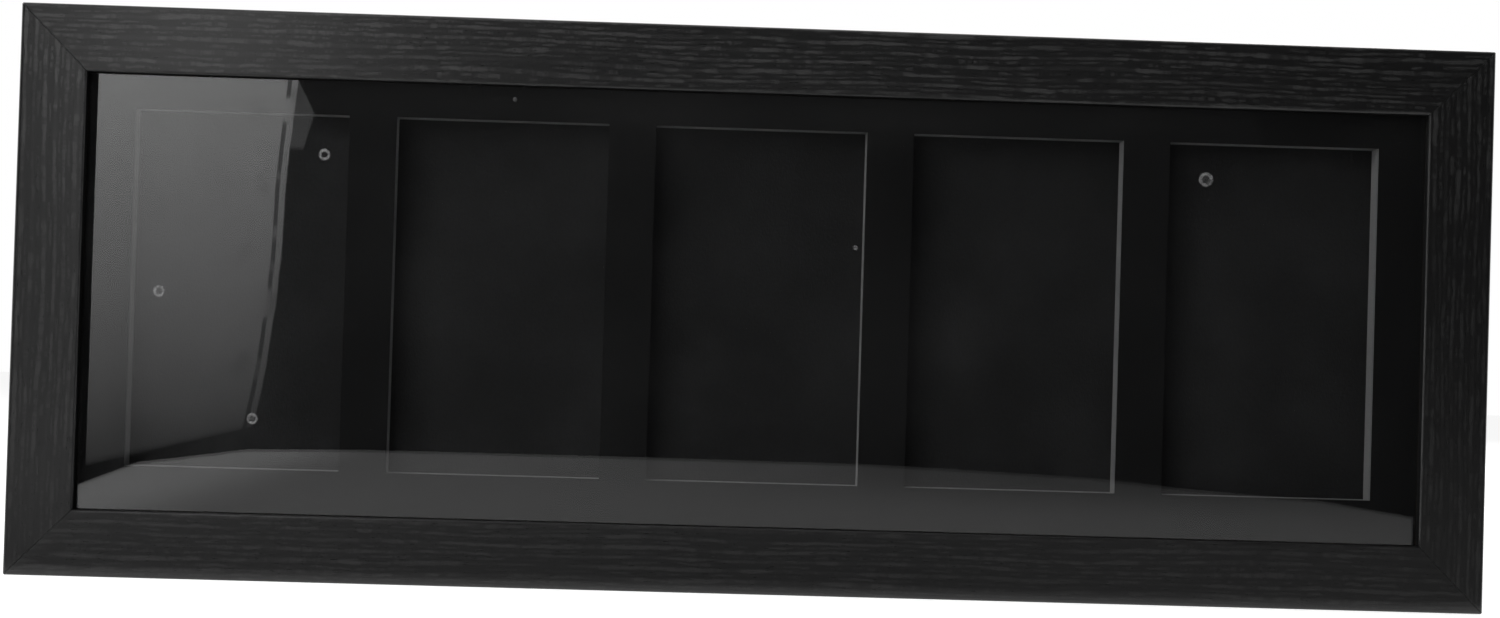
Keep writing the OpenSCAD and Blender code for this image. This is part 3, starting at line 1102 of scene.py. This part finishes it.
class CASE_OT_turn_buttons(Operator):
    """Builds the six turn buttons"""

    bl_idname = "display_case.turn_buttons"
    bl_label = "Turn buttons"

    def execute(self, context):
        finish = context.scene.case_finish
        steel = plated_steel("zinc_button", finish.zinc, 0.34, (500, 90, 500), 0.25)
        low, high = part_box("turn_button_top_right")
        width, thickness = high.z - low.z, high.y - low.y
        reach = high.x - low.x - width
        button = turn_button_blank(width, reach, thickness)
        press_groove(button, reach, thickness)
        soften(button, SHEET_BREAK)
        for body in (b for b in frame["bodies"] if b.startswith("button_")):
            node = "turn_" + body
            pivot = Vector(joint_of(body)["pos_m"])
            low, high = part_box(node)
            towards = (low + high) / 2 - pivot
            turn = math.atan2(-towards.z, towards.x)
            copy = turned_copy(button, node + "_plate", (pivot.x, low.y, pivot.z), turn)
            hand_over(copy, body, [node], steel)
        remove(button)
        return {"FINISHED"}


HEAD_R = 3.1 * MM
HEAD_H = 2.0 * MM
HEAD_EDGE = 0.8 * MM
SHANK_R = 1.5 * MM
SHANK_LEN = 10 * MM
POINT_LEN = 3 * MM
SLOT_LEN = 3.4 * MM
SLOT_W = 0.8 * MM
SLOT_DEPTH = 1.2 * MM
SCREW_BREAK = 0.05 * MM
DOME_STEPS = 7


def domed(name, radius, height, edge, points):
    """A low dome on a straight edge, standing on y = 0 and worked up ring by ring to a small flat."""
    piece = rod(name, radius, 0, edge, (0, 0), points)
    rise = height - edge
    ball = (radius ** 2 + rise ** 2) / (2 * rise)
    last_r, last_y = radius, edge
    with Editing(piece) as e:
        e.faces(lambda c, n: n.y > 0.9)
        for step in range(1, DOME_STEPS + 1):
            r = radius * math.cos(QUARTER * step / (DOME_STEPS + 0.4))
            y = height - ball + math.sqrt(ball ** 2 - r ** 2)
            e.pull((0, y - last_y, 0))
            e.scale((r / last_r, 1, r / last_r), (0, y, 0))
            last_r, last_y = r, y
    return piece


THREAD_START = 4.0 * MM
THREAD_PITCH = 1.3 * MM
THREAD_ROOT = 0.78


def thread_turns(screw):
    """Draws in rings between the crests of the thread along the lower shank."""
    with Editing(screw) as e:
        count = int((SHANK_LEN - THREAD_START) / THREAD_PITCH)
        for i in range(count):
            for part in (0.0, 0.5):
                e.bisect((0, -THREAD_START - (i + part) * THREAD_PITCH, 0), Y_AXIS)
        for i in range(count):
            depth = -THREAD_START - (i + 0.5) * THREAD_PITCH
            e.verts(lambda p: near(p.y, depth))
            e.scale((THREAD_ROOT, 1, THREAD_ROOT), (0, depth, 0))


def wood_screw():
    """A domed wood screw with a cross recess: its head stands on y = 0 and its shank points to -Y."""
    screw = domed("wood_screw", HEAD_R, HEAD_H, HEAD_EDGE, 48)
    with Editing(screw) as e:
        e.faces(lambda c, n: n.y < -0.9)
        bpy.ops.mesh.inset(thickness=HEAD_R - SHANK_R)
        e.pull((0, -SHANK_LEN, 0))
        e.pull((0, -POINT_LEN, 0))
        e.scale((0.05, 1, 0.05), (0, -SHANK_LEN - POINT_LEN, 0))
    thread_turns(screw)
    recess = block("recess", (-SLOT_W / 2, HEAD_H - SLOT_DEPTH, -SLOT_W / 2),
                   (SLOT_W / 2, HEAD_H + OVERCUT, SLOT_W / 2))
    arm = (SLOT_LEN - SLOT_W) / 2
    with Editing(recess) as e:
        for way in (X_AXIS, -X_AXIS, Z_AXIS, -Z_AXIS):
            e.faces(lambda c, n: n.dot(way) > 0.9 and near(c.x * way.z, 0) and near(c.z * way.x, 0))
            e.pull(tuple(way * arm))
        e.tidy()
        e.verts(lambda p: p.y < HEAD_H)
        e.scale((0.62, 1, 0.62), (0, 0, 0))
    carve(screw, recess)
    remove(recess)
    soften(screw, SCREW_BREAK, 1)
    return screw


# How far the first screw of a group is turned, and each one more than the last, in radians
FIRST_TURN, NEXT_TURN = 0.7, 1.9


class CASE_OT_screws(Operator):
    """Builds the screws of the turn buttons and of the hangers"""

    bl_idname = "display_case.screws"
    bl_label = "Screws"

    def execute(self, context):
        zinc = context.scene.case_finish.zinc
        steel = plated_steel("zinc_screw", zinc, 0.28, (600, 300, 600))
        screw = wood_screw()
        for name, node, group in (
            ("pivot_screws", "button_screws", button_places()),
            ("strap_screws", "hanger_screws", hanger_places()),
        ):
            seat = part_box(node)[1].y - HEAD_H
            copies = [
                turned_copy(screw, name, (p.x, seat, p.z), FIRST_TURN + NEXT_TURN * i)
                for i, p in enumerate(group)
            ]
            hand_over(join(name, copies), "case", [node], steel)
        remove(screw)
        return {"FINISHED"}


STRAP_T = 0.9 * MM
FOLD_GAP = 0.05 * MM
WIRE_R = 1.2 * MM
WIRE_POINTS = 20
BAR_FIT = 0.06 * MM
LOOP_R = WIRE_R + BAR_FIT + STRAP_T / 2
SLOPE_LEN = 5 * MM
STRAP_HOLE_R = 1.75 * MM
BEND_R = 2 * MM
ARM_LEN = 4 * MM
RING_TILT = math.radians(6.09)


def folded_strap(width, hole_z):
    """A folded strap with its hinge at the origin, drawn along the middle line of its strip."""
    low = hole_z - width / 2
    # Places on the middle line, back and up: it leaves the loop at touch and runs straight to foot
    foot = Vector((STRAP_T + FOLD_GAP - LOOP_R, -SLOPE_LEN))
    leave = math.atan2(foot.y, foot.x) + math.acos(LOOP_R / foot.length)
    touch = Vector((math.cos(leave), math.sin(leave))) * LOOP_R
    clip = 4 * LOOP_R
    spare = width / 2 + OVERCUT
    strap = upright_sheet("strap", Vector((-spare, -LOOP_R, low)), Vector((spare, -LOOP_R, 0)))
    with Editing(strap) as e:
        e.edges(lambda a, b: near(a.z, 0) and near(b.z, 0))
        e.spin(leave - math.pi, (0, 0, 0), X_AXIS)
        e.edges(lambda a, b: all(near(p.y, touch.x) and near(p.z, touch.y) for p in (a, b)))
        e.pull((0, foot.x - touch.x, foot.y - touch.y))
        e.pull((0, 0, low - foot.y))
        e.tidy()
    modify(strap, "SOLIDIFY", thickness=STRAP_T, offset=0, use_even_offset=True)
    outline = rod("outline", width / 2, -clip, clip, (0, hole_z), 64)
    with Editing(outline) as e:
        e.verts(lambda p: p.z > hole_z + HAIR)
        e.shift((0, 0, clip - hole_z))
    carve(strap, outline, "INTERSECT")
    hole = rod("hole", STRAP_HOLE_R, -clip, clip, (0, hole_z))
    carve(strap, hole)
    remove(outline, hole)
    soften(strap, SHEET_BREAK)
    return strap


def wire_ring(radius):
    """A D-shaped wire ring with its bar through the origin, drawn round from the middle of the bar."""
    bar = radius - BEND_R
    ring = loop("ring", WIRE_R, WIRE_POINTS, (0, QUARTER, 0))
    with Editing(ring) as e:
        e.all()
        e.pull((bar, 0, 0))
        e.spin(QUARTER, (bar, 0, -BEND_R), Y_AXIS, 8)
        e.pull((0, 0, BEND_R - ARM_LEN))
        e.spin(2 * QUARTER, (0, 0, -ARM_LEN), Y_AXIS, 32)
        e.pull((0, 0, ARM_LEN - BEND_R))
        e.spin(QUARTER, (-bar, 0, -BEND_R), Y_AXIS, 8)
        e.pull((bar, 0, 0))
        e.tidy()
    ring.data.transform(Matrix.Rotation(RING_TILT, 4, "X"))
    return ring


class CASE_OT_hangers(Operator):
    """Builds the two ring hangers: folded straps and wire rings"""

    bl_idname = "display_case.hangers"
    bl_label = "Ring hangers"

    def execute(self, context):
        zinc = context.scene.case_finish.zinc
        strap_steel = plated_steel("zinc_strap", zinc, 0.32, (700, 60, 60), 0.25)
        ring_steel = plated_steel("zinc_wire", zinc, 0.22, (90, 400, 400))
        low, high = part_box("hanger_strap_left")
        strap = folded_strap(high.x - low.x, hanger_places()[0].z - joint_of("ring_left")["pos_m"][2])
        low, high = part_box("hanger_ring_left")
        ring = wire_ring((high.x - low.x) / 2 - WIRE_R)
        for side in ("left", "right"):
            hinge = joint_of("ring_" + side)["pos_m"]
            fold_shade = turned_copy(strap, side + "_folded_strap", hinge, 0)
            hand_over(fold_shade, "case", ["hanger_strap_" + side], strap_steel)
            wire = turned_copy(ring, side + "_wire_ring", hinge, 0)
            hand_over(wire, "ring_" + side, ["hanger_ring_" + side], ring_steel)
        remove(strap, ring)
        return {"FINISHED"}


# The straight edge of a bumper, as a share of its height
BUMPER_EDGE = 0.4
BUMPER_BREAK = 0.15 * MM


class CASE_OT_bumpers(Operator):
    """Builds the two wall bumpers"""

    bl_idname = "display_case.bumpers"
    bl_label = "Wall bumpers"

    def execute(self, context):
        rubber = bumper_rubber(context.scene.case_finish)
        for side in ("left", "right"):
            node = "wall_bumper_" + side
            low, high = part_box(node)
            radius = (high.x - low.x) / 2
            height = high.y - low.y
            bumper = domed(node + "_dome", radius, height, BUMPER_EDGE * height, 64)
            soften(bumper, BUMPER_BREAK)
            bumper.location = ((low.x + high.x) / 2, low.y, (low.z + high.z) / 2)
            hand_over(bumper, "case", [node], rubber)
        return {"FINISHED"}


# The studio: floor, room, lights and camera, with places in metres


def seen_directly(f):
    """1 for eyes, mirrors and glass, and 0 for light that falls on a surface."""
    path = f.node("ShaderNodeLightPath").outputs
    seen = Value(f, path["Is Camera Ray"]).most(Value(f, path["Is Glossy Ray"]))
    return seen.most(Value(f, path["Is Transmission Ray"]))


def pale_floor(colour, glow):
    """A pale matt floor that looks a little brighter than the light on it."""
    f = new_finish("pale_floor")
    skin = f.node("ShaderNodeBsdfDiffuse", None, {"Color": colour}).outputs[0]
    light = f.node("ShaderNodeEmission", None, {"Strength": seen_directly(f) * glow}).outputs[0]
    return f.done(f.node("ShaderNodeAddShader", None, [skin, light]).outputs[0])


def mirrored_card(card, strength, cover=None):
    """Makes a card that shows only in the pane as a painted reflection: its own light, and open air where
    it has no cover.
    """
    f = new_finish(card.name)
    place = f.place()
    light = f.node("ShaderNodeEmission", None, {"Strength": strength(f, *place)}).outputs[0]
    if cover is not None:
        open_way = f.node("ShaderNodeBsdfTransparent").outputs[0]
        light = f.mix(cover(f, *place), open_way, light)
    card.data.materials.append(f.done(light))
    card.visible_camera = False
    card.visible_diffuse = False
    card.visible_shadow = False


# The edge of the pale table that the case stands on: places across and forwards
TABLE_EDGE = (
    (-2.60, -0.30), (-0.90, -0.42), (-0.387, -0.667), (-0.413, -1.012), (-0.378, -1.338),
    (-0.293, -1.40), (-0.082, -1.42), (0.156, -1.40), (0.320, -1.24), (0.372, -1.06),
    (0.438, -0.92), (0.450, -0.70), (0.95, -0.42), (2.60, -0.30),
)
TABLE_W, TABLE_D = 5.2, 1.66
TABLE_MIDDLE = (0, -0.85, 2 * MM)
ROOM_H = 3.0


def dark_room():
    """The dark room beyond the table: one upright edge drawn along the table's edge."""
    first = Vector((*TABLE_EDGE[0], 0))
    spare = 10 * MM
    room = upright_sheet("dark_room", first, first + Vector((spare, 0, ROOM_H)))
    with Editing(room) as e:
        e.verts(lambda p: p.x > first.x + spare / 2)
        bpy.ops.mesh.delete(type="VERT")
        e.all()
        for (x0, y0), (x1, y1) in zip(TABLE_EDGE, TABLE_EDGE[1:]):
            e.pull((x1 - x0, y1 - y0, 0))

    def strength(f, x, y, z):
        left = x.step(0.5, -0.4) * 0.007
        upper = z.step(0.26, 0.32) * 0.045
        clouds = f.noise(times(5, x, y, z), 3).step(0.42, 0.72) * x.step(0.5, 0.1) * 0.03
        return 0.006 + left + upper + clouds

    mirrored_card(room, strength)


def table_top():
    """The table as a glowing card of painted light: paler at the left, with painted shade close to the
    case and towards the front.
    """
    clear()
    bpy.ops.mesh.primitive_plane_add(size=1, location=TABLE_MIDDLE)
    bpy.context.object.scale = (TABLE_W, TABLE_D, 1)

    def strength(f, x, y, z):
        left_end = 1.08 - 0.52 * x.step(-0.360, -0.262)
        across = left_end - 0.10 * x.step(-0.25, 0.08) - 0.08 * x.step(0.05, 0.5)
        by_case = 1 - 0.55 * y.step(-0.38, -0.25) * (1 - 0.55 * x.step(0.0, 0.25))
        forwards = 1.1 - y.step(-0.45, -1.2) * (0.15 + 0.45 * x.step(-0.1, 0.3))
        return across * by_case * forwards

    mirrored_card(added("table_top"), strength)


# The leaning board, where it stands: its sheet, its right edge, its lower edge and its loose flap
PANEL_Y = -0.70
PANEL_LOW, PANEL_HIGH = Vector((-1.5, PANEL_Y, -0.02)), Vector((-0.24, PANEL_Y, 1.3))
EDGE_X = -0.2705
EDGE_LEAN_Z, EDGE_LEAN = 0.20, 0.09
EDGE_BEND_Z, EDGE_BEND = 0.262, 0.016
FOOT_X, FOOT_Z, FOOT_SLOPE = -0.287, 0.040, 0.262
FLAP_X, FLAP_Z = -0.2545, 0.236


def past_edge(f, x, z):
    """How far a place lies to the left of the board's wavy right edge, which bends in at the foot."""
    fall = (EDGE_BEND_Z - z).most(0.0) * (1 / (EDGE_BEND_Z - FOOT_Z))
    wave = f.noise((z * 18, 0.0, 3.0), 4, 0.65) - 0.5
    lean = (z - EDGE_LEAN_Z).most(0.0) * EDGE_LEAN
    return wave * 3 * MM + EDGE_X + lean - fall * fall * fall * EDGE_BEND - x


def over_foot(x, z):
    """How far a place lies above the board's sloping lower edge."""
    return z - FOOT_Z - (x - FOOT_X) * FOOT_SLOPE


def loose_flap(x, z):
    """A small pointed flap that sticks out of the right edge."""
    back = ((z - FLAP_Z) * 0.52).most((FLAP_Z - z) * 0.28)
    return (FLAP_X - back - x).step(0.0, 0.6 * MM) * z.step(0.212, 0.216)


def pale_panel():
    """A pale board that leans in the room at the left, with a torn double rim along its right edge."""

    def strength(f, x, y, z):
        depth, height = past_edge(f, x, z), over_foot(x, z)
        cloud = f.noise((x * 9, 0.0, z * 9), 3)
        face = (0.16 + z * 7.2 - (x + 0.39) * 2.6).least(2.6) + (cloud - 0.5) * 0.3
        # Painted shade over the lower left of the board
        face = face * (1 - 0.8 * x.step(-0.41, -0.55) * z.step(0.20, 0.04))
        # Bright where the pane doesn't show the board, for the sheen on the moulding
        face = face + z.step(0.24, 0.40) * x.step(-0.37, -0.52) * 18
        face = face + z.step(0.15, 0.26) * x.step(-0.41, -0.50) * 7
        smear = f.noise((x * 70, 0.0, z * 45), 3).step(0.56, 0.66) * depth.step(0.045, 0.008)
        # A painted shadow line in a groove inside the right edge, where the rim is whole
        groove = depth.step(6.8 * MM, 6.2 * MM) * depth.step(3.4 * MM, 4.2 * MM)
        torn = f.noise((0.0, 0.0, z * 30), 2).step(0.60, 0.50)
        whole = z.step(0.244, 0.247).most(z.step(0.232, 0.229) * torn)
        # Painted shade along the fold at the board's foot
        fold_shade = height.size().step(2.6 * MM, 1.8 * MM) * height.size().step(0.5 * MM, 1.2 * MM)
        flap = depth.step(0.4 * MM, -0.4 * MM)
        marked = face * (1 - groove * whole * 0.72) * (1 - smear * 0.22) * (1 - fold_shade * 0.4)
        return marked * (1 - depth.step(4 * MM, 3.4 * MM) * 0.1) * (1 - flap * 0.70)

    def cover(f, x, y, z):
        on_board = past_edge(f, x, z).step(-0.8 * MM, 0.8 * MM)
        sheet = on_board * over_foot(x, z).step(-0.6 * MM, 0.6 * MM)
        return sheet.most(loose_flap(x, z))

    mirrored_card(upright_sheet("pale_panel", PANEL_LOW, PANEL_HIGH), strength, cover)


FLOOR_SIZE = 14
FLOOR_Z = -0.05 * MM
SENSOR_W = 36


def lay_floor(studio):
    """The pale floor under the case."""
    clear()
    bpy.ops.mesh.primitive_plane_add(size=FLOOR_SIZE, location=(0, 0, FLOOR_Z))
    floor = added("floor")
    floor.data.materials.append(pale_floor(studio.floor, studio.floor_glow))


def room_light(level):
    """Even light from all round, with white surroundings wherever they are seen."""
    f = Finish(bpy.data.worlds.new("room_light"))
    seen = seen_directly(f)
    strength = seen + (1 - seen) * level
    white = f.node("ShaderNodeBackground", None, {"Color": (1, 1, 1), "Strength": strength})
    return f.done(white.outputs[0], "ShaderNodeOutputWorld")


def soft_light(name, place, aim, size, power):
    """A square soft light; the key light shows in nothing that mirrors."""
    way = Vector(aim) - Vector(place)
    bpy.ops.object.light_add(
        type="AREA", location=place, rotation=way.to_track_quat("-Z", "Y").to_euler())
    lamp = bpy.context.object
    lamp.name = name
    lamp.data.energy = power
    lamp.data.size = size
    lamp.visible_glossy = lamp.visible_transmission = name != "key_light"


class CASE_OT_studio(Operator):
    """Builds the floor, the room that the pane mirrors, the lights and the camera"""

    bl_idname = "display_case.studio"
    bl_label = "Studio"

    def execute(self, context):
        studio = context.scene.case_studio
        lay_floor(studio)
        dark_room()
        table_top()
        pale_panel()
        context.scene.world = room_light(studio.world_light)
        aim, size = studio.light_aim, studio.lamp_size
        soft_light("key_light", studio.key_place, aim, size, studio.key_light)
        soft_light("back_light", studio.back_place, aim, size, studio.back_light)
        bpy.ops.object.camera_add(location=studio.place, rotation=studio.turn)
        camera = context.object
        camera.data.sensor_width = SENSOR_W
        camera.data.lens = studio.lens
        context.scene.camera = camera
        context.scene.view_settings.view_transform = "Standard"
        return {"FINISHED"}


class CASE_PT_panel(Panel):
    """Lists the pieces of the case in the order in which they are built"""

    bl_idname = "CASE_PT_panel"
    bl_label = "Display case"
    bl_space_type = "VIEW_3D"
    bl_region_type = "UI"
    bl_category = "Display case"

    def draw(self, context):
        for step in STEPS:
            self.layout.operator(step.bl_idname)
        for group in (context.scene.case_finish, context.scene.case_studio):
            for name in group.__annotations__:
                self.layout.prop(group, name)


STEPS = (
    CASE_OT_moulding, CASE_OT_corner_nails, CASE_OT_pane, CASE_OT_pocket_panel, CASE_OT_liner,
    CASE_OT_backing_board, CASE_OT_turn_buttons, CASE_OT_screws, CASE_OT_hangers,
    CASE_OT_bumpers, CASE_OT_studio,
)
CLASSES = (CaseFinish, StudioSettings, *STEPS, CASE_PT_panel)


def register():
    for cls in CLASSES:
        bpy.utils.register_class(cls)
    bpy.types.Scene.case_finish = PointerProperty(type=CaseFinish)
    bpy.types.Scene.case_studio = PointerProperty(type=StudioSettings)


def unregister():
    del bpy.types.Scene.case_studio
    del bpy.types.Scene.case_finish
    for cls in reversed(CLASSES):
        bpy.utils.unregister_class(cls)


def main():
    """Builds everything."""
    register()
    for step in STEPS:
        group, name = step.bl_idname.split(".")
        getattr(getattr(bpy.ops, group), name)()
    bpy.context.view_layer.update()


if __name__ == "__main__":
    main()
